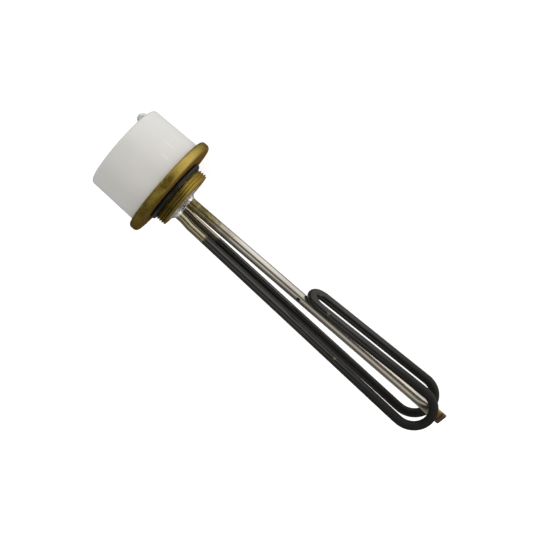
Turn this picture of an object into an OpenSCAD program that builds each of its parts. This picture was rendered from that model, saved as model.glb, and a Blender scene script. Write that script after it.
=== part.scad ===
// Screw plug immersion heater.
// A brass screwed head carries a folded tubular element and a long pocket for a
// rod-type temperature control. A moulded cover closes the wiring space behind the head.
// +X points along the plug to the tip of the pocket, and the cover is on the -X side.
// The two hairpins of the element lie flat, one above (+Z) and one below (-Z) the
// middle plane. Lengths are in millimetres and are counted from the sealing face of the
// flange; every piece is then moved so that the origin is at the middle of the thread.

/* [Head] */
// Outside diameter of the plug thread
thread_d = 53.75; // [53.2:0.05:54.2]
// Distance from the sealing face to the end of the plug
plug_len = 13.3; // [12:0.1:14]
// Distance from the sealing face to the first turn of the thread
thread_start = 4.3; // [4.2:0.1:5]
// Diameter of the relief behind the thread
relief_d = 48.9; // [48:0.1:49.4]
// Diameter of the flange
flange_d = 92.4; // [90:0.2:96]
// Thickness of the flange
flange_t = 8.8; // [8:0.1:10]
// Rounding of the flange edge on the cover side
edge_back_r = 3; // [1:0.25:3.5]
// Rounding of the flange edge on the element side
edge_front_r = 3.5; // [1:0.25:4]
// Width across the flats of the spanner boss under the cover
hex_af = 62; // [60:0.5:63]
// Height of the spanner boss
hex_h = 6; // [5.5:0.25:6.5]
// Diameter of the wiring recess
recess_d = 44; // [42:0.5:45]
// Thickness of the plug wall that the tubes pass through
floor_t = 6; // [5:0.25:7]

/* [Sealing ring] */
// Diameter of the ring's cord
ring_cord = 4.5; // [4:0.1:4.6]
// Depth of the ring's seat in the flange face
seat_depth = 0.4; // [0.3:0.05:0.6]

/* [Element] */
// Outside diameter of the sheath tube
tube_d = 8; // [7.6:0.1:8.2]
// Wall of the sheath tube
tube_wall = 0.8; // [0.6:0.05:1]
// Sideways place of the upper leg at the plug
leg_upper_y = -11.2; // [-12.2:0.1:-10.8]
// Sideways place of the lower leg at the plug
leg_lower_y = -10; // [-11.2:0.1:-10]
// Angle by which the upper leg is set over just past the plug
leg_upper_set = 9.5; // [4:0.5:10]
// Angle by which the lower leg is set over just past the plug
leg_lower_set = 7; // [4:0.5:10]
// Distance between the two legs at the plug
leg_cc = 10.6; // [10.4:0.1:11]
// Radius of the upper hairpin bend, at the middle of the tube
bend_upper_r = 17.5; // [17:0.1:18]
// Radius of the lower hairpin bend, at the middle of the tube
bend_lower_r = 18; // [17:0.1:18]
// Distance from the sealing face to the centre of the upper hairpin bend
bend_upper_x = 266.8; // [262:0.2:272]
// Distance from the sealing face to the centre of the lower hairpin bend
bend_lower_x = 264.8; // [262:0.2:272]
// Radius of the loop that joins the hairpins, half the distance between them
loop_r = 11.5; // [11:0.1:11.5]
// Distance from the sealing face to where the joining loop begins
loop_x = 155; // [150:0.2:165]
// Sideways place of the joining loop
loop_y = 12.4; // [12:0.1:12.6]
// Lean of the return tubes
return_lean = 2.9; // [2.6:0.02:2.92]
// Unheated length of each leg past its first bend
cold_len = 36; // [30:1:60]

/* [Pocket and control] */
// Outside diameter of the pocket
pocket_d = 9.4; // [9.2:0.1:9.6]
// Wall of the pocket
pocket_wall = 0.8; // [0.6:0.05:0.9]
// Sideways place of the pocket at the end of the plug
pocket_y = 1.5; // [1:0.1:2]
// Lean of the pocket
pocket_lean = 0.58; // [0:0.02:0.6]
// Distance from the sealing face to the tip of the pocket
tip_x = 295.2; // [290:0.2:300]
// Length of the flattened end of the pocket
tip_len = 28; // [20:1:30]
// Width of the flattened end
tip_w = 12.4; // [10:0.2:13]
// Thickness of the flattened end
tip_t = 2.6; // [2:0.2:4]
// Roll of the flattened end about the pocket
tip_roll = 14; // [0:1:90]
// Diameter of the control's stem
stem_d = 6.4; // [6:0.1:7]
// Height of the control's housing without its lid
body_h = 22; // [21:0.5:24]
// Diameter of the setting dial
dial_d = 16; // [12:0.5:17]

/* [Cover] */
// Outside diameter of the cover at the flange
cover_d = 80.8; // [80:0.2:82]
// Outside diameter of the cover at its closed end
cover_end_d = 78.4; // [78:0.2:80]
// Length of the cover
cover_len = 46.5; // [46:0.1:50]
// Wall of the cover
cover_wall = 2.3; // [2:0.1:2.6]
// Rounding of the cover's closed end
cover_r = 3.2; // [2.8:0.1:4]
// Diameter of the cover stud
stud_d = 4.7; // [4:0.1:5]
// Distance of the cover stud from the axis
stud_off = 27.4; // [27:0.1:27.8]
// Direction of the cover stud about the axis
stud_dir = -23; // [-26:1:-20]
// Width across the flats of the cover nut
nut_af = 8.2; // [7.5:0.1:9]
// Bore of the cable grommet
grommet_bore = 9; // [7:0.5:10]

/* [Hidden] */
$fn = 64;

thread_r = thread_d / 2;
flange_r = flange_d / 2;
relief_r = relief_d / 2;
ring_r = relief_r + ring_cord / 2;            // middle of the ring's cord
seat_r = relief_r + ring_cord + 0.3;          // edge of the ring's seat
back_x = -flange_t;                           // face that the cover stands on
boss_x = -flange_t - hex_h;                   // top of the spanner boss
recess_x = plug_len - floor_t;                // floor of the wiring recess
tube_r = tube_d / 2;
core_r = tube_r - tube_wall;                  // inside of the sheath
pin_r = 1.5;                                  // cold pin
coil_r = 1.9;                                 // outside of the coiled wire
braze = 0.1;                                  // solder film in the holes
sheath_x = 1;                                 // open end of the sheath, in the recess
set_x = 19;                                   // where the legs are set over
set_r = 40;                                   // bend radius of that set
set_lead = 1;                                 // straight after each of its bends
splay_r = 60;                                 // bend radius of that spread
bend_lead = 3;                                // straight before a hairpin bend
// housing of the control: a rounded block between these corners
body_y0 = -6.3;
body_y1 = 20.7;
body_z = 23;
body_wall = 2;
lid_t = 2;
lid_x = boss_x - body_h;                      // underside of the lid
top_x = lid_x - lid_t;                        // top of the lid
dial_y = 8;
dial_z = 10.5;
button_y = 14;
button_z = -13.5;
button_x = lid_x + 1.3;                       // underside of the button's collar at rest
block_z = 16;                                 // middle of a terminal block
block_x = -30.8;                              // middle of the wire hole
end_x = back_x - cover_len;                   // outer face of the closed end
stud_y = stud_off * cos(stud_dir);
stud_z = stud_off * sin(stud_dir);
earth_y = -stud_y;
earth_z = -stud_z;
grommet_y = -18;
grommet_z = -14;
thread_mid = (thread_start + 0.6 + plug_len - 1.2) / 2;

// Shared shapes

// moves a finished piece so that the origin is at the middle of the thread
module placed() translate([-thread_mid, 0, 0]) children();

// turns a shape that stands on Z so that it stands on X
module along_x() rotate([0, 90, 0]) children();

module ring2d(ro, ri = 0) difference() {
  circle(r = ro);
  if (ri > 0) circle(r = ri);
}

// tube or rod along +X from x0 to x1
module rod(x0, x1, ro, ri = 0)
  translate([x0, 0, 0]) along_x() linear_extrude(x1 - x0) ring2d(ro, ri);

// hexagon along +X, with its flats facing +Y and -Y after turn = 0
module hex(x0, x1, af, turn = 0)
  translate([x0, 0, 0]) along_x() rotate([0, 0, turn]) cylinder(d = af / cos(30), h = x1 - x0, $fn = 6);

// block with rounded edges that run along X
module soft_block(x0, x1, y0, y1, z0, z1, r)
  translate([x0, 0, 0]) along_x() linear_extrude(x1 - x0) {
    translate([-z1, y0 + r]) square([z1 - z0, y1 - y0 - 2 * r]);
    translate([-z1 + r, y0]) square([z1 - z0 - 2 * r, y1 - y0]);
    for (y = [y0 + r, y1 - r], z = [z0 + r, z1 - r]) translate([-z, y]) circle(r = r);
  }

function arc(cx, cy, r, a0, a1, n = 8) =
  [for (i = [0:n]) let (a = a0 + (a1 - a0) * i / n) [cx + r * cos(a), cy + r * sin(a)]];

// Path pieces: each draws its own stretch of rod and carries what follows to its end

module go(len, draw, r) {
  if (draw) rod(0, len, r);
  translate([len, 0, 0]) children();
}

// a hair-thin band over the line where a bend meets a straight
module joint_band(draw, r) if (draw) rod(-0.2, 0.2, r + 0.015);

// bends by the angle ang with the radius rad, towards the direction roll about the path
module turn(rad, ang, roll, draw, r, plain_end = false) {
  joint_band(draw, r);
  rotate([roll, 0, 0]) {
    if (draw) translate([0, rad, 0]) rotate([0, 0, -90])
      rotate_extrude(angle = ang) translate([rad, 0]) circle(r = r);
    translate([0, rad, 0]) rotate([0, 0, ang]) translate([0, -rad, 0]) rotate([-roll, 0, 0]) {
      if (!plain_end) joint_band(draw, r);
      children();
    }
  }
}

// One half of the element, from the open end of a leg to the middle of the joining loop.
// The leg is set over a little past the plug, and then spreads in an S: a short bend, a long straight
// and the same bend back.
module half_run(leg_y, set, rb, bend_x, cold, hot, r, x0, plain_end) {
  set_y = 2 * set_r * (1 - cos(set)) + set_lead * sin(set);
  set_len = 2 * set_r * sin(set) + set_lead * cos(set) + set_lead;
  turn_end_x = bend_x - rb * sin(return_lean);
  ret_y = loop_y + tan(return_lean) * (turn_end_x - loop_x);
  ret_len = (turn_end_x - loop_x) / cos(return_lean);
  leg_end_y = ret_y - rb * (1 + cos(return_lean));
  dx = bend_x - bend_lead - set_x - set_len;
  dy = leg_end_y - leg_y + set_y;
  dz = loop_r - leg_cc / 2;
  d = sqrt(dy * dy + dz * dz);
  straight = sqrt(dx * dx + d * d - 4 * splay_r * d);
  ang = 2 * atan((dx - straight) / (4 * splay_r - d));
  dir = atan2(dz, dy);
  translate([x0, leg_y, leg_cc / 2])
    go(set_x - x0, cold, r)
    turn(set_r, set, 180, cold, r)
    go(set_lead, cold, r)
    turn(set_r, set, 0, cold, r)
    go(set_lead, cold, r)
    turn(splay_r, ang, dir, cold, r)
    go(cold_len, cold, r)
    go(straight - cold_len, hot, r)
    turn(splay_r, ang, dir + 180, hot, r)
    go(bend_lead, hot, r)
    turn(rb, 180 + return_lean, 0, hot, r)
    go(ret_len, hot, r)
    turn(loop_r, 90, -90, hot, r, plain_end);
}

module element_run(cold, hot, r, x0 = sheath_x) {
  half_run(leg_upper_y, leg_upper_set, bend_upper_r, bend_upper_x, cold, hot, r, x0, false);
  mirror([0, 0, 1]) half_run(leg_lower_y, leg_lower_set, bend_lower_r, bend_lower_x, cold, hot, r, x0, true);
}

// places a shape on both legs, with X kept
module on_legs() {
  translate([0, leg_upper_y, leg_cc / 2]) children();
  translate([0, leg_lower_y, -leg_cc / 2]) children();
}

// the pocket's own axis, with X kept at the end of the plug
module on_pocket() translate([plug_len, pocket_y, 0]) rotate([0, 0, pocket_lean]) translate([-plug_len, 0, 0]) children();

// Head

module brass_head() color([0.62, 0.5, 0.2]) placed() difference() {
  union() {
    along_x() rotate_extrude() polygon(concat(
      [[0, back_x]],
      arc(flange_r - edge_back_r, back_x + edge_back_r, edge_back_r, -90, 0),
      arc(flange_r - edge_front_r, -edge_front_r, edge_front_r, 0, 90),
      [[seat_r, 0], [seat_r, -seat_depth], [relief_r, -seat_depth], [relief_r, thread_start],
       [thread_r - 0.6, thread_start], [thread_r, thread_start + 0.6], [thread_r, plug_len - 1.2],
       [thread_r - 1.2, plug_len], [0, plug_len]]));
    hex(boss_x, back_x + 1, hex_af, 90 + stud_dir);
  }
  rod(boss_x - 1, recess_x, recess_d / 2);
  on_legs() rod(recess_x - 1, plug_len + 1, tube_r + braze);
  on_pocket() rod(recess_x - 1, plug_len + 1, pocket_d / 2 + braze);
  translate([0, stud_y, stud_z]) rod(boss_x - 1, boss_x + 5, stud_d / 2);
  translate([0, earth_y, earth_z]) rod(boss_x - 1, boss_x + 7, 2);
}

module sealing_ring() color([0.09, 0.09, 0.1]) placed()
  along_x() rotate_extrude() translate([ring_r, ring_cord / 2 - seat_depth]) circle(d = ring_cord);

// soft solder: a tinned patch, a fillet around each tube and the film in the holes
module solder_seal() color([0.78, 0.79, 0.79]) placed() difference() {
  union() {
    translate([0, leg_lower_y / 2, 0]) rod(plug_len, plug_len + 0.5, 15.5);
    on_legs() {
      rod(recess_x, plug_len + 0.5, tube_r + braze);
      translate([plug_len, 0, 0]) along_x() cylinder(r1 = 6.6, r2 = tube_r + 0.25, h = 5);
    }
    on_pocket() {
      rod(recess_x, plug_len + 0.5, pocket_d / 2 + braze);
      translate([plug_len + 0.1, 0, 0]) along_x() cylinder(r1 = 7.6, r2 = pocket_d / 2 + 0.25, h = 5.4);
    }
  }
  on_legs() rod(recess_x - 1, plug_len + 8, tube_r);
  on_pocket() rod(recess_x - 1, plug_len + 8, pocket_d / 2);
}

// Element

module element_sheath() color([0.14, 0.14, 0.13]) placed() difference() {
  element_run(true, true, tube_r);
  element_run(true, true, core_r, sheath_x - 1);
}

// packed powder: a bore for the pin in the unheated ends, a wider one for the coil
module element_insulation() color([0.9, 0.88, 0.84]) placed() difference() {
  element_run(true, true, core_r, sheath_x + 2);
  element_run(true, false, pin_r, sheath_x);
  element_run(false, true, coil_r);
}

// the coiled wire as one rod of its outer diameter
module resistance_coil() color([0.45, 0.44, 0.42]) placed() element_run(false, true, coil_r);

// pin in the unheated end, with a threaded end that the supply wire is clamped on
module cold_pins() color([0.7, 0.7, 0.68]) placed() {
  element_run(true, false, pin_r, -6);
  on_legs() rod(-26, -6, 2);
}

module end_seals() color([0.85, 0.83, 0.78]) placed() on_legs() difference() {
  union() {
    rod(sheath_x, sheath_x + 2, core_r);
    rod(-3.5, sheath_x, tube_r + 0.4);
    translate([-5, 0, 0]) along_x() cylinder(r1 = 2.6, r2 = tube_r + 0.4, h = 1.5);
  }
  rod(-6, sheath_x + 3, pin_r);
}

module terminal_washers() color([0.72, 0.62, 0.3]) placed() on_legs() {
  rod(-18.5, -17.7, 3.6, 2.1);
  rod(-20.1, -19.3, 3.6, 2.1);
}

module terminal_nuts() color([0.72, 0.62, 0.3]) placed() on_legs() difference() {
  union() {
    hex(-17.7, -14.5, 7, 0);
    hex(-23.3, -20.1, 7, 0);
  }
  rod(-24, -14, 2);
}

// Pocket and control

// plain tube with its far end pressed flat and closed
module sensor_pocket() color([0.68, 0.67, 0.62]) placed() on_pocket() {
  rod(1.5, tip_x - tip_len, pocket_d / 2, pocket_d / 2 - pocket_wall);
  hull() {
    rod(tip_x - tip_len, tip_x - tip_len + 0.5, pocket_d / 2, $fn = 48);
    translate([tip_x - 1.5, 0, 0]) rotate([tip_roll, 0, 0]) {
      for (s = [-1, 1]) translate([0, s * (tip_w - tip_t) / 2, 0]) rod(0, 1.5, tip_t / 2, $fn = 16);
    }
  }
}

module control_stem() color([0.72, 0.6, 0.28]) placed() on_pocket() {
  rod(boss_x - 4, tip_x - tip_len - 7, stem_d / 2, stem_d / 2 - 0.8);
  rod(tip_x - tip_len - 7, tip_x - tip_len - 5, stem_d / 2);
}

module control_rod() color([0.6, 0.6, 0.6]) placed() on_pocket() rod(boss_x - 5.7, tip_x - tip_len - 7, 1.1);

module control_body() color([0.16, 0.13, 0.11]) placed() difference() {
  union() {
    difference() {
      soft_block(lid_x, boss_x, body_y0, body_y1, -body_z, body_z, 3);
      soft_block(lid_x - 1, boss_x - 2.2, body_y0 + body_wall, body_y1 - body_wall,
                 -body_z + body_wall, body_z - body_wall, 1.2);
    }
    // post under the reset button, and the posts that hold the switch parts
    translate([0, button_y, button_z]) rod(button_x + 5.2, boss_x - 2, 4);
    translate([0, 1.2, 14]) rod(boss_x - 5.7, boss_x - 2, 3.2);
    translate([0, 1.2, -14.5]) rod(boss_x - 4, boss_x - 2, 3.2);
  }
  on_pocket() rod(lid_x, boss_x + 1, stem_d / 2 + 0.02);
}

module control_lid() color([0.2, 0.16, 0.13]) placed() difference() {
  soft_block(top_x, lid_x, body_y0, body_y1, -body_z, body_z, 3);
  translate([0, dial_y, dial_z]) rod(top_x - 1, lid_x + 1, 2.56);
  translate([0, button_y, button_z]) rod(top_x - 1, lid_x + 1, 3.06);
}

// strip that the rod lifts, with its contact at the free end
module switch_arm() color([0.75, 0.55, 0.35]) placed() {
  translate([boss_x - 6.2, -1.3, -16.5]) cube([0.5, 5, 33.5]);
  translate([0, 1.2, -14.5]) rod(boss_x - 5.7, boss_x - 5.1, 1.6);
}

module fixed_contact() color([0.78, 0.62, 0.32]) placed() {
  translate([0, 1.2, -14.5]) rod(boss_x - 4.9, boss_x - 4.5, 1.6);
  translate([boss_x - 4.5, -1.3, -17]) cube([0.5, 5, 5.5]);
}

// round dial with a screwdriver slot and a spindle through the lid
module setting_dial() color([0.75, 0.12, 0.1]) placed() translate([0, dial_y, dial_z]) difference() {
  union() {
    rod(top_x - 3.3, top_x - 0.3, dial_d / 2);
    rod(top_x - 0.3, lid_x + 4, 2.5);
  }
  translate([top_x - 3.4, -dial_d / 2 + 2, -0.6]) cube([1.4, dial_d - 4, 1.2]);
  translate([top_x - 3.4, -0.8, dial_d / 2 - 1.6]) cube([4, 1.6, 3]);
}

module reset_button() color([0.85, 0.83, 0.8]) placed() translate([0, button_y, button_z]) {
  rod(top_x - 2.8, button_x - 1.2, 3);
  rod(button_x - 1.2, button_x, 4.2);
}

// the coil spring as a sleeve of its own diameters
module reset_spring() color([0.65, 0.65, 0.66]) placed() translate([0, button_y, button_z])
  rod(button_x, button_x + 5.2, 3, 2.2);

module terminal_blocks() color([0.74, 0.63, 0.3]) placed() for (s = [-1, 1]) difference() {
  translate([block_x - 4.2, body_y0 - 7, s * block_z - 3.5]) cube([9, 7, 7]);
  translate([block_x, body_y0 - 8, s * block_z]) rotate([-90, 0, 0]) cylinder(r = 1.35, h = 6);
  translate([0, body_y0 - 3.5, s * block_z]) rod(block_x - 5, block_x - 1.35, 1.5);
}

module block_screws() color([0.76, 0.66, 0.35]) placed() for (s = [-1, 1])
  translate([0, body_y0 - 3.5, s * block_z]) difference() {
    union() {
      rod(block_x - 4.2, block_x - 1.35, 1.5);
      rod(block_x - 6, block_x - 4.2, 2.8);
    }
    translate([block_x - 6.5, -3, -0.4]) cube([1.3, 6, 0.8]);
  }

// ring tag on the upper leg's terminal, and the insulated wire to its block
module link_lead() color([0.55, 0.2, 0.12]) placed() {
  translate([0, leg_upper_y, leg_cc / 2]) {
    rod(-19.3, -18.5, 3.8, 2.05);
    difference() {
      translate([-19.3, -8, -1.5]) cube([0.8, 5, 3]);
      rod(-19.4, -18.4, 3.7);
    }
  }
  translate([-20.2, leg_upper_y - 6, leg_cc / 2]) rotate([0, 0, -90])
    go(1.5, true, 1.3)
    turn(5, 90, 180, true, 1.3)
    go(abs(block_x) - 30.2, true, 1.3)
    turn(5, 90, 90, true, 1.3)
    go(block_z - leg_cc / 2 - 10, true, 1.3)
    turn(5, 90, 180, true, 1.3)
    go(-3.9 - leg_upper_y, true, 1.3);
}

module earth_washer() color([0.74, 0.66, 0.4]) placed() translate([0, earth_y, earth_z]) rod(boss_x - 1.2, boss_x, 4.6, 2.1);

module earth_screw() color([0.76, 0.66, 0.35]) placed() translate([0, earth_y, earth_z]) difference() {
  union() {
    rod(boss_x - 1.2, boss_x + 6, 2);
    rod(boss_x - 4, boss_x - 1.2, 3.6);
  }
  translate([boss_x - 4.5, -4, -0.5]) cube([1.7, 8, 1]);
}

// Cover

module cover_stud() color([0.75, 0.75, 0.74]) placed() translate([0, stud_y, stud_z]) rod(end_x - 5.6, boss_x + 5, stud_d / 2);

// Cup with a slight taper. The outer rounding touches both the side and the closed end.
module cover() color([0.9, 0.89, 0.87]) placed() difference() {
  lean = atan((cover_d - cover_end_d) / 2 / cover_len);
  cy = end_x + cover_r;
  side_r = cover_end_d / 2 + tan(lean) * cover_r;
  cx = side_r - cover_r / cos(lean);
  in_end = end_x + cover_wall + 0.3;
  in_r1 = cover_d / 2 - cover_wall;
  in_r2 = cover_end_d / 2 - cover_wall;
  along_x() rotate_extrude() polygon(concat(
    [[0, end_x]],
    arc(cx, cy, cover_r, -90, lean),
    [[cover_d / 2, back_x], [in_r1, back_x], [in_r2 + 0.05, in_end + 1.5], [in_r2 - 1.5, in_end], [0, in_end]]));
  translate([0, stud_y, stud_z]) rod(end_x - 1, in_end + 1, stud_d / 2 + 0.3);
  translate([0, grommet_y, grommet_z]) rod(end_x - 1, in_end + 1, 6.6);
}

// soft ring with a groove that holds the cover's wall
module cable_grommet() color([0.2, 0.2, 0.2]) placed() translate([0, grommet_y, grommet_z]) difference() {
  union() {
    rod(end_x - 2.2, end_x, 8.6);
    rod(end_x, end_x + cover_wall + 0.3, 6.6);
    rod(end_x + cover_wall + 0.3, end_x + cover_wall + 2.1, 8.2);
  }
  rod(end_x - 3, end_x + cover_wall + 3, grommet_bore / 2);
}

module cover_washer() color([0.75, 0.76, 0.76]) placed() translate([0, stud_y, stud_z]) rod(end_x - 1, end_x, 5, stud_d / 2 + 0.25);

// hexagon nut with a low domed top
module cover_nut() color([0.72, 0.74, 0.74]) placed() translate([0, stud_y, stud_z]) difference() {
  union() {
    hex(end_x - 4.4, end_x - 1, nut_af, 90 + stud_dir);
    intersection() {
      translate([end_x - 2, 0, 0]) sphere(r = 5);
      rod(end_x - 8, end_x - 4, nut_af / 2);
    }
  }
  rod(end_x - 5.9, end_x, stud_d / 2 + 0.05);
}

brass_head();
sealing_ring();
solder_seal();
element_sheath();
element_insulation();
resistance_coil();
cold_pins();
end_seals();
terminal_washers();
terminal_nuts();
sensor_pocket();
control_stem();
control_rod();
control_body();
control_lid();
switch_arm();
fixed_contact();
setting_dial();
reset_button();
reset_spring();
terminal_blocks();
block_screws();
link_lead();
earth_washer();
earth_screw();
cover_stud();
cover();
cable_grommet();
cover_washer();
cover_nut();
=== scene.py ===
import math

import bmesh
import bpy
import numpy as np
from mathutils import Matrix, Vector, noise


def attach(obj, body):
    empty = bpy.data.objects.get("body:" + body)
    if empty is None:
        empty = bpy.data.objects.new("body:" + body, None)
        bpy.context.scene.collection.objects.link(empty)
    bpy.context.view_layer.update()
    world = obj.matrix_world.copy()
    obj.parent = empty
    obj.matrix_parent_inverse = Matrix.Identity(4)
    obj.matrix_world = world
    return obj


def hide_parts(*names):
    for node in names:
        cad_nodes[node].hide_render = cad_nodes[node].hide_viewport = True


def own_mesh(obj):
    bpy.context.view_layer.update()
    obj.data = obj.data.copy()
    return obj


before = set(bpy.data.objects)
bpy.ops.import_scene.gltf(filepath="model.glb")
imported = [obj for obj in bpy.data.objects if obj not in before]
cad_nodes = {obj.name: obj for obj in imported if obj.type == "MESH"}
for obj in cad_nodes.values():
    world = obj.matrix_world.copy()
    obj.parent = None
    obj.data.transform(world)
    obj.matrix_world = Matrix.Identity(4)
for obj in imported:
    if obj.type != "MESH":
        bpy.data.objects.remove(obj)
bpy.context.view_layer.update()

# Lengths below are in millimetres from the sealing face of the flange, as on a drawing.
# The part's origin is at the middle of the thread, so finished pieces move by that much.
ORIGIN_X = 8.5
TO_PART = Matrix.Scale(0.001, 4) @ Matrix.Translation((-ORIGIN_X, 0, 0))
TAU = 2 * math.pi


def px(x):
    """A drawing length along the plug as a coordinate of the part, in metres."""
    return (x - ORIGIN_X) * 0.001


# ---------------------------------------------------------------- drawing sizes
thread_r, plug_len, thread_start, relief_r = 26.875, 13.3, 4.3, 24.45
flange_r, flange_t, edge_back_r, edge_front_r = 46.2, 8.8, 3.0, 3.5
back_x, hex_af, boss_x = -8.8, 62.0, -14.8
recess_r, recess_x = 22.0, 7.3
ring_cord, seat_depth = 4.5, 0.4
seat_r = relief_r + ring_cord + 0.3
tube_r, tube_wall, leg_cc = 4.0, 0.8, 10.6
leg_upper_y, leg_lower_y = -11.2, -10.0
pocket_r, pocket_y, pocket_lean = 4.7, 1.5, math.radians(0.58)
tip_x, tip_len, tip_w, tip_t, tip_roll = 295.2, 28.0, 12.4, 2.6, math.radians(14)
cover_r1, cover_r2, cover_len, cover_wall, cover_round = 40.4, 39.2, 46.5, 2.3, 3.2
end_x = back_x - cover_len
stud_dir = math.radians(-23)
stud_y, stud_z = 27.4 * math.cos(stud_dir), 27.4 * math.sin(stud_dir)
stud_r = 2.35
grommet_y, grommet_z = -18.0, -14.0


# ---------------------------------------------------------------- mesh tools
def make_object(name, verts, faces):
    me = bpy.data.meshes.new(name)
    me.from_pydata([tuple(map(float, v)) for v in verts], [], [tuple(f) for f in faces])
    bm = bmesh.new()
    bm.from_mesh(me)
    bmesh.ops.remove_doubles(bm, verts=bm.verts, dist=1e-4)
    bmesh.ops.recalc_face_normals(bm, faces=bm.faces)
    bm.to_mesh(me)
    bm.free()
    ob = bpy.data.objects.new(name, me)
    bpy.context.scene.collection.objects.link(ob)
    return ob


def smooth(a, b, v):
    t = np.clip((v - a) / (b - a), 0.0, 1.0)
    return t * t * (3 - 2 * t)


def arc(cx, cr, r, a0, a1, n):
    """Points (x, r) of an arc in the half plane of a turned profile."""
    return [
        (cx + r * math.cos(math.radians(a0 + (a1 - a0) * i / n)), cr + r * math.sin(math.radians(a0 + (a1 - a0) * i / n)))
        for i in range(n + 1)
    ]


def skin(rings, close_loop=False, cap_first=True, cap_last=True):
    """Quads over rings of equal size; the ends are closed by flat caps."""
    n = len(rings[0])
    verts = [p for ring in rings for p in ring]
    faces = []
    m = len(rings)
    for i in range(m if close_loop else m - 1):
        a, b = i * n, ((i + 1) % m) * n
        for j in range(n):
            k = (j + 1) % n
            faces.append((a + j, a + k, b + k, b + j))
    if not close_loop:
        if cap_first:
            faces.append(tuple(range(n)))
        if cap_last:
            faces.append(tuple((m - 1) * n + j for j in range(n)))
    return verts, faces


def turned(name, profile, n=128, at=(0.0, 0.0), closed=False):
    """Turns a profile of (x, r) points about the X axis through (y, z) = at."""
    th = np.arange(n) * TAU / n
    rings = []
    for x, r in profile:
        rings.append([(x, at[0] + r * c, at[1] + r * s) for c, s in zip(np.cos(th), np.sin(th))])
    verts, faces = skin(rings, close_loop=closed)
    return make_object(name, verts, faces)


def cylinder(name, x0, x1, r, at=(0.0, 0.0), n=64):
    return turned(name, [(x0, r), (x1, r)], n, at)


def hex_radius(th, af):
    """Radius of a hexagon with a corner at angle 0."""
    a = (th % (math.pi / 3)) - math.pi / 6
    return af / 2 / np.cos(a)


def hex_block(name, rows, af, corner, n=144, at=(0.0, 0.0)):
    """A hexagon along X: rows of (x, limit radius), where the limit is the turned chamfer."""
    th = np.arange(n) * TAU / n
    rings = []
    for x, lim in rows:
        r = np.minimum(hex_radius(th, af), lim)
        rings.append([(x, at[0] + a * math.cos(t + corner), at[1] + a * math.sin(t + corner)) for a, t in zip(r, th)])
    verts, faces = skin(rings)
    return make_object(name, verts, faces)


def chamfer_rows(x_edge, x_in, r_edge, slope, r_full, steps=6):
    """Rows from the edge of a chamfered hexagon inwards to its full corners."""
    depth = (r_full - r_edge) * slope
    d = math.copysign(1, x_in - x_edge)
    return [(x_edge + d * depth * i / steps, r_edge + (r_full - r_edge) * i / steps) for i in range(steps + 1)]


def boolean(ob, other, op):
    mod = ob.modifiers.new("cut", "BOOLEAN")
    mod.operation = op
    mod.object = other
    mod.solver = "MANIFOLD"
    bpy.context.view_layer.update()
    dg = bpy.context.evaluated_depsgraph_get()
    me = bpy.data.meshes.new_from_object(ob.evaluated_get(dg))
    bm = bmesh.new()
    bm.from_mesh(me)
    bmesh.ops.dissolve_verts(bm, verts=[v for v in bm.verts if len(v.link_edges) == 2])
    bm.to_mesh(me)
    bm.free()
    old = ob.data
    ob.modifiers.clear()
    ob.data = me
    bpy.data.meshes.remove(old)
    data = other.data
    bpy.data.objects.remove(other)
    bpy.data.meshes.remove(data)
    return ob


def cut(ob, *others):
    for o in others:
        boolean(ob, o, "DIFFERENCE")
    return ob


def join(ob, *others):
    for o in others:
        boolean(ob, o, "UNION")
    return ob


def put_together(name, parts):
    """One object of several separate closed bodies."""
    me = bpy.data.meshes.new(name)
    bm = bmesh.new()
    for p in parts:
        bm.from_mesh(p.data)
    bm.to_mesh(me)
    bm.free()
    for p in parts:
        data = p.data
        bpy.data.objects.remove(p)
        bpy.data.meshes.remove(data)
    ob = bpy.data.objects.new(name, me)
    bpy.context.scene.collection.objects.link(ob)
    return ob


def piece(ob, name, material, body, stands_for=(), sharp=32):
    """Moves a finished shape into the part's frame and makes it ride on its body."""
    ob.name = name
    me = ob.data
    me.name = name
    me.transform(TO_PART)
    me.materials.clear()
    me.materials.append(material)
    me.shade_smooth()
    me.set_sharp_from_angle(angle=math.radians(sharp))
    me.update()
    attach(ob, body)
    if stands_for:
        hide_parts(*stands_for)
    return ob


def sweep(points, radius, n=40, cap=True):
    """A round tube along points, with its rings carried along without twist. radius may be a list."""
    p = np.asarray(points, float)
    m = len(p)
    t = np.zeros_like(p)
    t[1:-1] = p[2:] - p[:-2]
    t[0], t[-1] = p[1] - p[0], p[-1] - p[-2]
    t /= np.linalg.norm(t, axis=1)[:, None]
    up = np.array([0.0, 0.0, 1.0]) if abs(t[0][2]) < 0.9 else np.array([0.0, 1.0, 0.0])
    u = np.cross(up, t[0])
    u /= np.linalg.norm(u)
    th = np.arange(n) * TAU / n
    rings = []
    for i in range(m):
        u = u - t[i] * np.dot(u, t[i])
        u /= np.linalg.norm(u)
        v = np.cross(t[i], u)
        r = radius[i] if hasattr(radius, "__len__") else radius
        rings.append([tuple(p[i] + r * (math.cos(a) * u + math.sin(a) * v)) for a in th])
    return skin(rings, cap_first=cap, cap_last=cap)


def tube(points, r_out, r_in, n=40):
    """The same with a bore, open at both ends."""
    out, inner = (np.asarray(sweep(points, r, n)[0]).reshape(len(points), n, 3) for r in (r_out, r_in))
    return skin([[tuple(q) for q in ring] for ring in [*out, *inner[::-1]]], close_loop=True)


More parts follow.
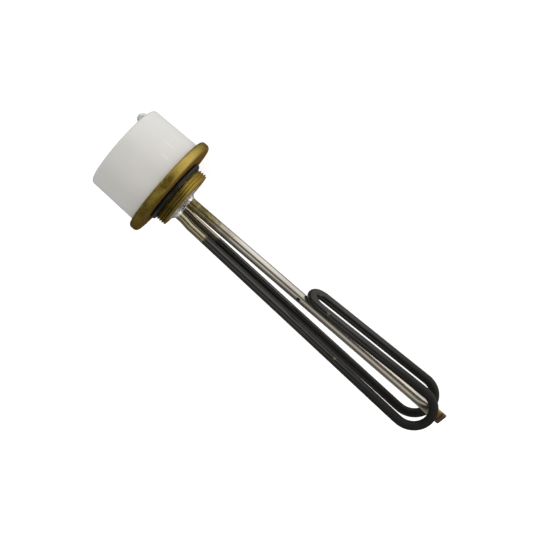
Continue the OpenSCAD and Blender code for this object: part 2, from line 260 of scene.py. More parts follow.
# ---------------------------------------------------------------- material tools
class Mat:
    """A procedural material under construction. Coordinates are the part's own, in metres."""

    def __init__(self, name):
        self.m = bpy.data.materials.new(name)
        self.m.use_nodes = True
        self.t = self.m.node_tree
        self.t.nodes.clear()
        self.out = self.t.nodes.new("ShaderNodeOutputMaterial")
        self.b = self.t.nodes.new("ShaderNodeBsdfPrincipled")
        self.t.links.new(self.b.outputs[0], self.out.inputs[0])
        self.p = self.t.nodes.new("ShaderNodeTexCoord").outputs["Object"]
        s = self.t.nodes.new("ShaderNodeSeparateXYZ")
        self.t.links.new(self.p, s.inputs[0])
        self.x, self.y, self.z = s.outputs

    def set(self, **kw):
        for k, v in kw.items():
            sock = self.b.inputs[k.replace("_", " ")]
            if isinstance(v, bpy.types.NodeSocket):
                self.t.links.new(v, sock)
            else:
                sock.default_value = v
        return self

    def feed(self, sock, v):
        if isinstance(v, bpy.types.NodeSocket):
            self.t.links.new(v, sock)
        else:
            sock.default_value = v

    def math(self, op, a, b=0.0, c=None, clamp=False):
        n = self.t.nodes.new("ShaderNodeMath")
        n.operation = op
        n.use_clamp = clamp
        self.feed(n.inputs[0], a)
        self.feed(n.inputs[1], b)
        if c is not None:
            self.feed(n.inputs[2], c)
        return n.outputs[0]

    def add(self, a, b):
        return self.math("ADD", a, b)

    def mul(self, a, b):
        return self.math("MULTIPLY", a, b)

    def step(self, v, a, b, lo=0.0, hi=1.0):
        """lo before a, hi after b, eased between; a may be past b."""
        n = self.t.nodes.new("ShaderNodeMapRange")
        n.interpolation_type = "SMOOTHSTEP"
        if not isinstance(a, bpy.types.NodeSocket) and not isinstance(b, bpy.types.NodeSocket) and a > b:
            a, b, lo, hi = b, a, hi, lo
        for i, w in enumerate((v, a, b, lo, hi)):
            self.feed(n.inputs[i], w)
        return n.outputs[0]

    def combine(self, x, y, z):
        n = self.t.nodes.new("ShaderNodeCombineXYZ")
        for i, v in enumerate((x, y, z)):
            self.feed(n.inputs[i], v)
        return n.outputs[0]

    def scaled(self, sx, sy, sz, v=None):
        n = self.t.nodes.new("ShaderNodeVectorMath")
        n.operation = "MULTIPLY"
        self.feed(n.inputs[0], self.p if v is None else v)
        n.inputs[1].default_value = (sx, sy, sz)
        return n.outputs[0]

    def noise(self, scale, detail=3.0, rough=0.5, vector=None, distortion=0.0):
        n = self.t.nodes.new("ShaderNodeTexNoise")
        self.feed(n.inputs["Vector"], self.p if vector is None else vector)
        n.inputs["Scale"].default_value = scale
        n.inputs["Detail"].default_value = detail
        n.inputs["Roughness"].default_value = rough
        n.inputs["Distortion"].default_value = distortion
        return n.outputs["Fac"]

    def mix(self, fac, a, b):
        n = self.t.nodes.new("ShaderNodeMix")
        n.data_type = "RGBA"
        self.feed(n.inputs[0], fac)
        for i, v in ((6, a), (7, b)):
            self.feed(n.inputs[i], v if isinstance(v, bpy.types.NodeSocket) else (*v, 1.0))
        return n.outputs[2]

    def mixf(self, fac, a, b):
        n = self.t.nodes.new("ShaderNodeMix")
        n.data_type = "FLOAT"
        self.feed(n.inputs[0], fac)
        self.feed(n.inputs[2], a)
        self.feed(n.inputs[3], b)
        return n.outputs[0]

    def ramp(self, fac, stops):
        n = self.t.nodes.new("ShaderNodeValToRGB")
        e = n.color_ramp.elements
        while len(e) > 1:
            e.remove(e[-1])
        for i, (pos, col) in enumerate(stops):
            q = e[0] if i == 0 else e.new(pos)
            q.position = pos
            q.color = (*col, 1.0)
        self.feed(n.inputs[0], fac)
        return n.outputs[0]

    def dist(self, x, y, z):
        """Distance from a point given in drawing millimetres, in millimetres."""
        n = self.t.nodes.new("ShaderNodeVectorMath")
        n.operation = "DISTANCE"
        self.t.links.new(self.p, n.inputs[0])
        n.inputs[1].default_value = (px(x), y * 0.001, z * 0.001)
        return self.mul(n.outputs["Value"], 1000.0)

    def radius(self):
        """Distance from the plug axis, in millimetres."""
        return self.mul(self.math("SQRT", self.add(self.mul(self.y, self.y), self.mul(self.z, self.z))), 1000.0)

    def bump(self, height, strength, distance=0.0001, under=None):
        n = self.t.nodes.new("ShaderNodeBump")
        n.inputs["Strength"].default_value = strength
        n.inputs["Distance"].default_value = distance
        self.feed(n.inputs["Height"], height)
        if under is not None:
            self.t.links.new(under, n.inputs["Normal"])
        self.t.links.new(n.outputs[0], self.b.inputs["Normal"])
        return n.outputs[0]


# ---------------------------------------------------------------- materials
def make_brass():
    m = Mat("aged_brass")
    r = m.radius()
    xmm = m.mul(m.x, 1000.0)
    turning = m.noise(1.0, 2.0, 0.5, m.combine(m.mul(xmm, 1.6), m.mul(r, 1.6), 0.0))
    patch = m.noise(85.0, 5.0, 0.62)
    fine = m.noise(420.0, 4.0, 0.6)
    streak = m.noise(1.0, 3.0, 0.55, m.combine(m.mul(xmm, 0.5), m.mul(r, 0.5), m.mul(m.noise(40.0, 2.0), 3.0)))
    fac = m.add(m.mul(patch, 0.42), m.add(m.mul(fine, 0.46), m.mul(streak, 0.12)))
    col = m.ramp(fac, [(0.34, (0.222, 0.158, 0.028)), (0.46, (0.33, 0.240, 0.049)), (0.54, (0.41, 0.302, 0.067)), (0.66, (0.51, 0.386, 0.104))])
    # the faces that look along the plug are dull and browner, as is the rounded edge of the flange, whose +Y side is
    # browner still as painted shade that dims its highlight
    geo = m.t.nodes.new("ShaderNodeNewGeometry")
    nrm = m.t.nodes.new("ShaderNodeSeparateXYZ")
    m.t.links.new(geo.outputs["Normal"], nrm.inputs[0])
    face = m.step(nrm.outputs[0], 0.45, 0.95)
    flange = m.step(m.x, px(1.2), px(0.8))
    end = m.step(m.x, px(13.1), px(13.25))
    dull = m.mul(face, flange)
    matt = m.mul(face, end)
    col = m.mix(m.mul(dull, 0.9), col, (0.215, 0.108, 0.028))
    col = m.mix(matt, col, m.mix(patch, (0.135, 0.064, 0.018), (0.24, 0.12, 0.038)))
    # painted shade: the flange rim is made browner on its +Y side only, dimming the highlight there
    rim_painted_shade = m.mul(m.mul(m.step(r, 42.5, 45.5), flange), m.step(m.y, 0.004, 0.026))
    col = m.mix(m.mul(rim_painted_shade, 0.36), col, m.mix(patch, (0.20, 0.125, 0.024), (0.34, 0.24, 0.05)))
    # dirt in the roots of the thread
    in_thread = m.mul(m.mul(m.step(m.x, px(3.6), px(4.4)), m.step(r, 20.0, 22.5)), m.math("SUBTRACT", 1.0, matt))
    root = m.mul(in_thread, m.step(r, 26.4, 25.4))
    col = m.mix(m.mul(in_thread, 0.7), col, (0.80, 0.665, 0.215))
    col = m.mix(m.mul(root, 0.38), col, (0.16, 0.12, 0.03))
    # painted shade: the -Y side of the head is darkened, the thread more than the rest
    painted_shade_minus_y = m.step(m.add(m.y, m.mul(m.add(patch, -0.5), 0.02)), 0.022, 0.0)
    painted_shade_minus_y = m.mul(painted_shade_minus_y, m.math("MULTIPLY_ADD", in_thread, 0.17, 0.28))
    col = m.mix(painted_shade_minus_y, col, (0.075, 0.062, 0.012))
    # painted light: the +Y side of the head is lightened towards clean yellow brass, except on the faces that look
    # along the plug
    painted_light_plus_y = m.mul(m.step(m.y, 0.024, 0.040), m.math("SUBTRACT", 1.0, m.math("MAXIMUM", dull, matt)))
    col = m.mix(m.mul(painted_light_plus_y, 0.24), col, (0.72, 0.57, 0.18))
    # a grey film of solder on the end of the plug
    tinned = m.mul(end, m.step(m.add(r, m.mul(patch, 6.0)), 20.5, 17.5))
    col = m.mix(m.mul(tinned, 0.6), col, (0.36, 0.32, 0.24))
    rough = m.add(m.step(fine, 0.3, 0.7, 0.27, 0.42), m.mul(m.step(patch, 0.4, 0.65), -0.05))
    rough = m.add(rough, m.add(m.mul(root, 0.12), m.mul(m.math("MAXIMUM", dull, matt), 0.25)))
    m.set(Base_Color=col, Metallic=m.mixf(matt, m.step(dull, 0.0, 1.0, 1.0, 0.72), 0.0), Roughness=rough)
    m.b.inputs["Specular IOR Level"].default_value = 0.0  # the matt faces show no gloss at a low angle
    m.b.inputs["Specular Tint"].default_value = (0.80, 0.70, 0.50, 1.0)
    h = m.add(m.mul(turning, 0.6), m.mul(fine, 0.5))
    m.bump(h, 0.25, 0.00006)
    return m.m


def make_clean_brass():
    m = Mat("terminal_brass")
    fine = m.noise(700.0, 4.0, 0.6)
    patch = m.noise(160.0, 3.0, 0.5)
    col = m.ramp(m.add(m.mul(fine, 0.4), m.mul(patch, 0.6)), [(0.35, (0.50, 0.36, 0.13)), (0.52, (0.66, 0.50, 0.21)), (0.68, (0.74, 0.60, 0.30))])
    m.set(Base_Color=col, Metallic=1.0, Roughness=m.step(fine, 0.3, 0.7, 0.2, 0.36))
    m.bump(fine, 0.15, 0.00005)
    return m.m


def make_rubber(name, tone, rough, gloss):
    m = Mat(name)
    m.b.inputs["Specular IOR Level"].default_value = gloss
    fine = m.noise(900.0, 4.0, 0.6)
    broad = m.noise(120.0, 3.0, 0.5)
    col = m.mix(broad, (tone * 0.8, tone * 0.85, tone * 1.15), (tone * 1.3, tone * 1.35, tone * 1.8))
    m.set(Base_Color=col, Roughness=m.step(m.add(m.mul(fine, 0.6), m.mul(broad, 0.4)), 0.3, 0.7, rough - 0.07, rough + 0.09))
    m.bump(fine, 0.2, 0.00006)
    return m.m


def make_solder():
    m = Mat("soft_solder")
    broad = m.noise(260.0, 3.0, 0.5)
    fine = m.noise(1100.0, 3.0, 0.5)
    # painted shade: pits drawn only as near-black spots, with no depth of their own
    pit_painted_shade = m.step(m.noise(420.0, 2.0, 0.5), 0.36, 0.30)
    col = m.mix(broad, (0.80, 0.80, 0.785), (0.95, 0.95, 0.935))
    col = m.mix(m.mul(pit_painted_shade, 0.8), col, (0.09, 0.085, 0.06))
    m.set(Base_Color=col, Metallic=0.86, Roughness=m.add(m.step(broad, 0.35, 0.7, 0.15, 0.28), m.mul(pit_painted_shade, 0.2)))
    m.bump(m.add(m.mul(broad, 1.0), m.mul(fine, 0.25)), 0.5, 0.0003)
    return m.m


def make_sheath():
    m = Mat("oxidised_sheath")
    m.b.inputs["Specular IOR Level"].default_value = 0.74
    ragged = m.noise(240.0, 4.0, 0.6)
    limit = m.step(m.z, -0.0005, 0.0005, px(54.7), px(45.8))
    edge = m.add(m.x, m.add(m.mul(ragged, 0.0036), -0.0018))
    bare = m.step(m.math("SUBTRACT", edge, limit), 0.0014, -0.0016)
    # on the lower leg only the side towards the pocket is clean
    under = m.step(m.add(m.y, m.mul(ragged, 0.0012)), -0.0082, -0.0068, 0.18, 1.0)
    bare = m.mul(bare, m.mixf(m.step(m.z, -0.0005, 0.0005), under, 1.0))
    # bare metal: drawn tube with a yellowish temper colour
    drawn = m.noise(1.0, 2.0, 0.5, m.scaled(25.0, 420.0, 420.0))
    spots = m.noise(330.0, 4.0, 0.6)
    metal = m.ramp(m.add(m.mul(drawn, 0.5), m.mul(spots, 0.5)), [(0.35, (0.33, 0.285, 0.17)), (0.5, (0.40, 0.35, 0.23)), (0.66, (0.46, 0.41, 0.28))])
    # oxide: near black with a faint brown cast and rubbed spots
    broad = m.noise(90.0, 4.0, 0.6)
    grain = m.noise(1500.0, 3.0, 0.6)
    oxide = m.mix(m.step(broad, 0.4, 0.7), (0.0070, 0.0068, 0.0056), (0.0125, 0.0116, 0.0094))
    oxide = m.mix(m.mul(m.step(grain, 0.55, 0.75), 0.4), oxide, (0.026, 0.025, 0.022))
    scar = m.noise(700.0, 4.0, 0.65)
    rub1 = m.step(m.add(m.dist(162.4, 14.7, 15.0), m.mul(scar, 4.0)), 3.7, 2.6)
    rub2 = m.step(m.add(m.dist(192.4, -12.5, 12.3), m.mul(scar, 4.0)), 3.8, 2.7)
    rub = m.math("MAXIMUM", rub1, rub2)
    oxide = m.mix(m.mul(rub, 0.85), oxide, (0.16, 0.105, 0.055))
    col = m.mix(bare, oxide, metal)
    scale = m.step(m.x, px(195.0), px(262.0), 0.0, 0.44)  # thicker and duller towards the bends
    oxide_rough = m.add(m.step(m.add(m.mul(grain, 0.5), m.mul(broad, 0.5)), 0.35, 0.65, 0.12, 0.19), scale)
    rough = m.mixf(bare, oxide_rough, m.step(spots, 0.3, 0.7, 0.16, 0.25))
    dead = m.step(m.x, px(150.0), px(258.0), 0.0, 0.55)
    loop = m.mul(m.step(m.y, 0.003, 0.009), m.step(m.x, px(195.0), px(130.0), 0.0, 0.36))
    m.set(Base_Color=col, Metallic=m.mixf(bare, m.math("MAXIMUM", dead, loop), 1.0), Roughness=rough)
    m.bump(m.mixf(bare, m.add(m.mul(grain, 0.7), m.mul(broad, 0.6)), m.mul(drawn, 0.12)), 0.16, 0.00008)
    return m.m


def make_pocket():
    m = Mat("drawn_pocket")
    drawn = m.noise(1.0, 4.0, 0.6, m.scaled(10.0, 1300.0, 1300.0))
    lines = m.noise(1.0, 2.0, 0.5, m.scaled(3.0, 2600.0, 2600.0))
    spots = m.noise(260.0, 5.0, 0.65)
    steel = m.ramp(m.add(m.mul(drawn, 0.7), m.mul(lines, 0.3)), [(0.34, (0.52, 0.49, 0.435)), (0.5, (0.66, 0.628, 0.567)), (0.66, (0.76, 0.732, 0.675))])
    # painted shade: the pocket is darkened along its middle, from 95 to 190 mm
    painted_shade_mid = m.mul(m.step(m.x, px(95.0), px(128.0)), m.step(m.x, px(190.0), px(145.0)))
    steel = m.mix(m.mul(painted_shade_mid, 0.45), steel, (0.36, 0.335, 0.295))
    # brassy, blotched temper colour next to the plug
    blotch = m.noise(210.0, 5.0, 0.68)
    olive = m.ramp(blotch, [(0.36, (0.10, 0.085, 0.032)), (0.48, (0.20, 0.165, 0.065)), (0.56, (0.25, 0.20, 0.085)), (0.68, (0.36, 0.30, 0.15))])
    along = m.add(m.x, m.mul(m.add(m.noise(80.0, 3.0, 0.6), -0.5), 0.045))
    hot = m.step(along, px(78.0), px(30.0))
    col = m.mix(hot, steel, olive)
    warm = m.step(m.x, px(150.0), px(255.0), 0.0, 0.6)
    col = m.mix(warm, col, (0.74, 0.665, 0.54))
    worn = m.step(m.x, px(90.0), px(190.0), 0.0, 0.12)
    rough = m.mixf(hot, m.add(m.step(drawn, 0.3, 0.7, 0.13, 0.21), worn), m.step(blotch, 0.3, 0.7, 0.30, 0.43))
    # temper colours across the pressed tip
    wob = m.add(m.x, m.mul(m.add(m.noise(300.0, 3.0, 0.6), -0.5), 0.0016))
    t = m.math("MULTIPLY_ADD", wob, 1 / 0.0346, -px(260.0) / 0.0346)
    tint = m.ramp(t, [
        (0.0, (0.58, 0.55, 0.49)), (0.45, (0.55, 0.51, 0.42)), (0.70, (0.53, 0.46, 0.30)), (0.80, (0.50, 0.37, 0.14)),
        (0.865, (0.40, 0.21, 0.07)), (0.888, (0.30, 0.20, 0.09)), (0.899, (0.06, 0.065, 0.08)), (0.912, (0.08, 0.082, 0.09)),
        (0.926, (0.25, 0.22, 0.185)), (0.948, (0.23, 0.185, 0.14)), (0.966, (0.28, 0.135, 0.055)), (1.0, (0.22, 0.095, 0.04)),
    ])
    col = m.mix(m.step(m.x, px(258.0), px(266.0)), col, tint)
    rough = m.add(rough, m.step(m.x, px(284.0), px(291.0), 0.0, 0.14))
    # a shallow dimple in the side of the tube, painted near-black as painted shade
    dimple_painted_shade = m.step(m.add(m.dist(137.1, 1.88, 4.62), m.mul(spots, 0.8)), 2.3, 1.7)
    col = m.mix(m.mul(dimple_painted_shade, 0.93), col, (0.012, 0.012, 0.014))
    rough = m.add(rough, m.mul(dimple_painted_shade, 0.25))
    m.set(Base_Color=col, Metallic=1.0, Roughness=rough)
    m.bump(m.add(m.mul(drawn, 0.5), m.mul(m.mul(spots, hot), 0.8)), 0.12, 0.00006)
    return m.m


def make_cover():
    m = Mat("moulded_cover")
    broad = m.noise(26.0, 3.0, 0.5)
    fine = m.noise(900.0, 4.0, 0.6)
    col = m.mix(m.step(broad, 0.3, 0.7), (0.672, 0.662, 0.642), (0.697, 0.688, 0.672))
    # light rub marks along the side, and two painted reflection streaks at fixed places on its +Y side
    marks = m.noise(1.0, 2.0, 0.5, m.scaled(18.0, 420.0, 420.0))
    rub = m.mul(m.step(marks, 0.66, 0.74), m.step(m.x, px(-38.0), px(-28.0), 0.0, 0.5))
    # painted reflection: two light streaks along the cover, standing in for a reflected window
    for xa, xb, y, z in ((-30.0, -17.5, 35.4, 18.6), (-24.0, -14.5, 28.9, 27.6)):
        side = m.math("SQRT", m.add(m.math("POWER", m.add(m.y, -y * 0.001), 2.0), m.math("POWER", m.add(m.z, -z * 0.001), 2.0)))
        streak = m.mul(m.step(side, 0.0013, 0.0006), m.mul(m.step(m.x, px(xa - 1.5), px(xa + 3.0)), m.step(m.x, px(xb + 1.5), px(xb - 3.0))))
        rub = m.math("MAXIMUM", rub, streak)
    col = m.mix(m.mul(rub, 0.4), col, (0.80, 0.795, 0.785))
    m.set(Base_Color=col, Roughness=m.add(m.step(fine, 0.3, 0.7, 0.30, 0.40), m.mul(rub, 0.1)))
    m.bump(m.add(fine, m.mul(broad, 0.8)), 0.06, 0.00008)
    return m.m


def make_zinc():
    m = Mat("zinc_plate")
    patch = m.noise(420.0, 4.0, 0.6)
    fine = m.noise(1500.0, 3.0, 0.6)
    col = m.ramp(m.add(m.mul(patch, 0.7), m.mul(fine, 0.3)), [(0.35, (0.74, 0.78, 0.79)), (0.52, (0.84, 0.88, 0.89)), (0.68, (0.90, 0.93, 0.94))])
    m.set(Base_Color=col, Metallic=0.74, Roughness=m.step(patch, 0.3, 0.7, 0.36, 0.5))
    m.bump(fine, 0.12, 0.00005)
    return m.m


def make_plastic(name, dark, light, rough, grain=0.08):
    m = Mat(name)
    broad = m.noise(60.0, 3.0, 0.5)
    fine = m.noise(1300.0, 4.0, 0.6)
    m.set(Base_Color=m.mix(m.step(broad, 0.3, 0.7), dark, light), Roughness=m.step(fine, 0.3, 0.7, rough - 0.05, rough + 0.07))
    m.bump(fine, grain, 0.0001)
    return m.m


def make_powder():
    m = Mat("packed_powder")
    fine = m.noise(2200.0, 5.0, 0.7)
    m.set(Base_Color=m.mix(fine, (0.70, 0.68, 0.62), (0.86, 0.84, 0.79)), Roughness=0.95)
    m.bump(fine, 0.5, 0.0002)
    return m.m


def make_coil():
    m = Mat("coiled_wire")
    w = m.t.nodes.new("ShaderNodeTexWave")
    w.inputs["Scale"].default_value = 260.0
    m.t.links.new(m.p, w.inputs["Vector"])
    m.set(Base_Color=m.mix(w.outputs["Fac"], (0.10, 0.10, 0.095), (0.36, 0.35, 0.33)), Metallic=1.0, Roughness=m.step(w.outputs["Fac"], 0.0, 1.0, 0.5, 0.3))
    m.bump(w.outputs["Fac"], 0.6, 0.0003)
    return m.m


def make_strip():
    m = Mat("spring_strip")
    lines = m.noise(1.0, 3.0, 0.6, m.scaled(1500.0, 1500.0, 40.0))
    m.set(Base_Color=m.mix(lines, (0.50, 0.29, 0.16), (0.70, 0.46, 0.29)), Metallic=1.0, Roughness=m.step(lines, 0.3, 0.7, 0.2, 0.34))
    m.bump(lines, 0.1, 0.00005)
    return m.m


brass = make_brass()
clean_brass = make_clean_brass()
ring_rubber = make_rubber("ring_rubber", 0.006, 0.27, 0.36)
grommet_rubber = make_rubber("grommet_rubber", 0.016, 0.5, 0.4)
solder = make_solder()
sheath = make_sheath()
pocket_metal = make_pocket()
cover_plastic = make_cover()
zinc = make_zinc()
resin = make_plastic("brown_resin", (0.030, 0.020, 0.014), (0.046, 0.031, 0.021), 0.34)
red_plastic = make_plastic("red_plastic", (0.42, 0.022, 0.016), (0.50, 0.035, 0.025), 0.28)
white_plastic = make_plastic("white_plastic", (0.66, 0.64, 0.60), (0.72, 0.70, 0.67), 0.3)
bead = make_plastic("bead_resin", (0.58, 0.55, 0.48), (0.68, 0.65, 0.58), 0.5, 0.2)
powder = make_powder()
coil_wire = make_coil()
strip = make_strip()


# ---------------------------------------------------------------- head
def thread_wave(phase):
    """1 on the crest, 0 in the root, with both rounded."""
    tri = np.abs(2 * (phase % 1.0) - 1)
    return tri * tri * (3 - 2 * tri)


def make_head():
    n = 288
    th = np.arange(n) * TAU / n
    prof = [(back_x, flange_r - edge_back_r - 4.0)]
    prof += arc(back_x + edge_back_r, flange_r - edge_back_r, edge_back_r, 180, 90, 10)
    prof += arc(-edge_front_r, flange_r - edge_front_r, edge_front_r, 90, 0, 12)
    prof += [(0, seat_r + 0.25), (-0.1, seat_r + 0.05), (-seat_depth, seat_r), (-seat_depth, relief_r + 0.3), (-0.2, relief_r), (thread_start - 0.02, relief_r)]
    rings = [[(x, r * math.cos(a), r * math.sin(a)) for a in th] for x, r in prof]
    # the thread: a right-hand helix, 11 turns to the inch, between its two chamfers
    pitch, depth = 25.4 / 11, 1.48
    for x in np.linspace(thread_start, plug_len, 92):
        r = thread_r - depth + depth * thread_wave(x / pitch - th / TAU)
        r = np.minimum(r, thread_r - 1.75 + 1.2 * (x - thread_start))
        r = np.minimum(r, thread_r - 1.2 + 1.0 * (plug_len - x))
        rings.append([(x, b * math.cos(a), b * math.sin(a)) for a, b in zip(th, r)])
    body = make_object("head", *skin(rings))
    r_corner = hex_af / 2 / math.cos(math.pi / 6)
    rows = chamfer_rows(boss_x, back_x, hex_af / 2 + 0.6, 0.55, r_corner + 0.01, 8)
    rows.append((back_x + 0.8, r_corner + 0.01))
    boss = hex_block("boss", rows, hex_af, stud_dir)
    join(body, boss)
    cut(body, turned("recess", [(boss_x - 1, recess_r + 0.6), (boss_x - 0.01, recess_r + 0.6), (boss_x + 0.6, recess_r), (recess_x - 0.5, recess_r), (recess_x, recess_r - 0.5)], 160))
    for y, z in ((leg_upper_y, leg_cc / 2), (leg_lower_y, -leg_cc / 2)):
        cut(body, cylinder("hole", recess_x - 1, plug_len + 1, tube_r + 0.1, (y, z)))
    cut(body, cylinder("hole", recess_x - 1, plug_len + 1, pocket_r + 0.1, (pocket_y - 0.03, 0.0)))
    cut(body, cylinder("hole", boss_x - 1, boss_x + 5, stud_r, (stud_y, stud_z), 40))
    cut(body, cylinder("hole", boss_x - 1, boss_x + 7, 2.0, (-stud_y, -stud_z), 40))
    return piece(body, "brass_head_turned", brass, "head", ["brass_head"], 30)


make_head()

piece(
    turned("ring", arc(ring_cord / 2 - seat_depth, relief_r + ring_cord / 2, ring_cord / 2, 0, 345, 23), 180, closed=True),
    "sealing_ring_moulded", ring_rubber, "head", ["sealing_ring"],
)


def make_solder_pool():
    """A pool of solder on the end of the plug, drawn up around each tube."""
    cy, cz, rings_n, n = -5.0, 0.0, 64, 200
    tubes = [(leg_upper_y, leg_cc / 2, tube_r), (leg_lower_y, -leg_cc / 2, tube_r), (pocket_y, 0.0, pocket_r)]

    def edge(a):
        q = Vector((math.cos(a) * 1.7, math.sin(a) * 1.7, 4.2))
        return 16.3 + 1.4 * noise.noise(q) + 0.7 * noise.noise(q * 3.1)

    def height(y, z, f):
        gap = 1.0
        for ty, tz, tr in tubes:
            d = max(0.0, math.hypot(y - ty, z - tz) - tr)
            gap *= 1 - 0.97 * math.exp(-((d / 1.9) ** 1.15))
        h = 0.55 + 3.9 * (1 - gap)
        q = Vector((y * 0.22, z * 0.22, 1.3))
        h *= 1 + 0.34 * noise.noise(q) + 0.16 * noise.noise(q * 2.7)
        h += 0.28 * noise.noise(Vector((y * 0.75, z * 0.75, 7.7)))
        return 0.04 + max(0.06, h) * math.sqrt(max(0.0, 1 - f ** 5))

    rings = []
    for i in range(rings_n):
        f = 1 - (1 - i / (rings_n - 1)) ** 1.0
        ring = []
        for j in range(n):
            a = j * TAU / n
            rho = max(0.02, f) * edge(a)
            y, z = cy + rho * math.cos(a), cz + rho * math.sin(a)
            ring.append((plug_len + height(y, z, f), y, z))
        rings.append(ring)
    rings.append([(plug_len - 0.12, y, z) for _, y, z in rings[-1]])
    pool = make_object("pool", *skin(rings))
    for ty, tz, tr in tubes:
        cut(pool, cylinder("hole", plug_len - 3, plug_len + 14, tr - 0.04, (ty, tz), 72))
    return piece(pool, "solder_pool", solder, "head", ["solder_seal"], 50)


make_solder_pool()


# ---------------------------------------------------------------- element
class Path:
    """A path that goes straight and turns, as the tube was bent."""

    def __init__(self, start):
        self.p = np.array(start, float)
        self.f = np.eye(3)  # columns: forward, left, up
        self.points = [self.p.copy()]

    def go(self, length, n):
        a = self.p.copy()
        for i in range(1, n + 1):
            self.points.append(a + self.f[:, 0] * length * i / n)
        self.p = self.points[-1].copy()
        return self

    def turn(self, rad, deg, roll, n):
        side = self.f @ np.array([0, math.cos(roll), math.sin(roll)])
        axis = self.f @ np.array([0, -math.sin(roll), math.cos(roll)])
        c = self.p + side * rad
        f0 = self.f.copy()
        for i in range(1, n + 1):
            m = np.array(Matrix.Rotation(math.radians(deg) * i / n, 3, Vector(axis)))
            self.points.append(c + m @ (-side * rad))
            self.f = m @ f0
        self.p = self.points[-1].copy()
        return self


def half_element(leg_y, over, rb, bend_x):
    lean, loop_x, loop_y, loop_r, splay_r, lead = math.radians(2.9), 155.0, 12.4, 11.5, 60.0, 3.0
    set_x, set_r, set_lead, k = 19.0, 40.0, 1.0, math.radians(over)
    set_y = 2 * set_r * (1 - math.cos(k)) + set_lead * math.sin(k)
    set_len = 2 * set_r * math.sin(k) + set_lead * math.cos(k) + set_lead
    turn_end_x = bend_x - rb * math.sin(lean)
    ret_y = loop_y + math.tan(lean) * (turn_end_x - loop_x)
    ret_len = (turn_end_x - loop_x) / math.cos(lean)
    leg_end_y = ret_y - rb * (1 + math.cos(lean))
    dx, dy, dz = bend_x - lead - set_x - set_len, leg_end_y - leg_y + set_y, loop_r - leg_cc / 2
    d = math.hypot(dy, dz)
    straight = math.sqrt(dx * dx + d * d - 4 * splay_r * d)
    ang = 2 * math.atan((dx - straight) / (4 * splay_r - d))
    roll = math.atan2(dz, dy)
    p = Path((1.0, leg_y, leg_cc / 2))
    p.go(set_x - 1.0, 8).turn(set_r, over, math.pi, 5).go(set_lead, 1).turn(set_r, over, 0.0, 5).go(set_lead, 1)
    p.turn(splay_r, math.degrees(ang), roll, 4).go(straight, 70)
    p.turn(splay_r, math.degrees(ang), roll + math.pi, 4).go(lead, 2)
    p.turn(rb, 182.9, 0.0, 60).go(ret_len, 40).turn(loop_r, 90, -math.pi / 2, 30)
    return p.points


upper = half_element(leg_upper_y, 9.5, 17.5, 266.8)
lower = [np.array([a, b, -c]) for a, b, c in half_element(leg_lower_y, 7.0, 18.0, 264.8)]
run = upper + lower[-2::-1]
piece(make_object("run", *tube(run, tube_r, tube_r - tube_wall, 48)), "element_sheath_bent", sheath, "head", ["element_sheath"], 50)


# ---------------------------------------------------------------- pocket
def on_pocket(x, y, z):
    c, s = math.cos(pocket_lean), math.sin(pocket_lean)
    return (plug_len + (x - plug_len) * c - y * s, pocket_y + (x - plug_len) * s + y * c, z)


def make_pocket_tube():
    n = 72
    th = np.arange(n) * TAU / n
    start = tip_x - tip_len
    dimple = Vector((137.1, 1.88, 4.62))

    def section(x):
        v = float(smooth(start - 2, tip_x - 4.5, x))
        a = pocket_r + (tip_w / 2 - pocket_r) * v
        b = pocket_r + (tip_t / 2 - pocket_r) * v
        if x > tip_x - 4.0:  # the welded edge: a groove, a low bead and a rounded end
            g = x - (tip_x - 4.0)
            b += -0.22 * math.exp(-(((g - 0.55) / 0.3) ** 2)) + 0.12 * math.exp(-(((g - 2.0) / 0.9) ** 2))
            e = max(0.0, (x - (tip_x - 1.0)) / 1.0)
            k = math.sqrt(max(0.0, 1 - e * e))
            a -= 1.1 * (1 - k)
            b *= 0.35 + 0.65 * k
        e = 2 + 1.6 * v
        ring = []
        for t in th:
            ct, st = math.cos(t), math.sin(t)
            y = a * math.copysign(abs(ct) ** (2 / e), ct)
            z = b * math.copysign(abs(st) ** (2 / e), st)
            cr, sr = math.cos(tip_roll), math.sin(tip_roll)
            ring.append(on_pocket(x, y * cr - z * sr, y * sr + z * cr))
        return ring

    xs = list(np.arange(2.1, 134.0, 3.0)) + list(np.arange(134.0, 140.6, 0.5)) + list(np.arange(142.0, start - 3, 3.0))
    xs += list(np.arange(start - 2, tip_x - 4.2, 0.7)) + list(np.linspace(tip_x - 4.0, tip_x - 1.0, 13)) + [tip_x - 1 + math.sin(i * math.pi / 14) for i in range(1, 8)]
    rings = [section(x) for x in xs]
    out = []
    for ring in rings:
        new = []
        for p in ring:
            d = (Vector(p) - dimple).length
            if d < 2.4:
                c = on_pocket(p[0], 0.0, 0.0)
                k = 1 - 0.11 * (1 - (d / 2.4) ** 2) ** 2
                p = (p[0], c[1] + (p[1] - c[1]) * k, c[2] + (p[2] - c[2]) * k)
            new.append(p)
        out.append(new)
    # mouth and bore, closed before the pressed tip
    mouth = []
    for x, r in [(start - 4, 3.3), (start - 4.6, 3.9), (120.0, 3.9), (1.8, 3.9), (1.5, 4.1), (1.5, 4.45), (1.75, 4.7)]:
        mouth.append([on_pocket(x, r * (math.cos(t) * math.cos(tip_roll) - math.sin(t) * math.sin(tip_roll)), r * (math.cos(t) * math.sin(tip_roll) + math.sin(t) * math.cos(tip_roll))) for t in th])
    return piece(make_object("pocket", *skin(mouth + out)), "sensor_pocket_drawn", pocket_metal, "head", ["sensor_pocket"], 40)


make_pocket_tube()


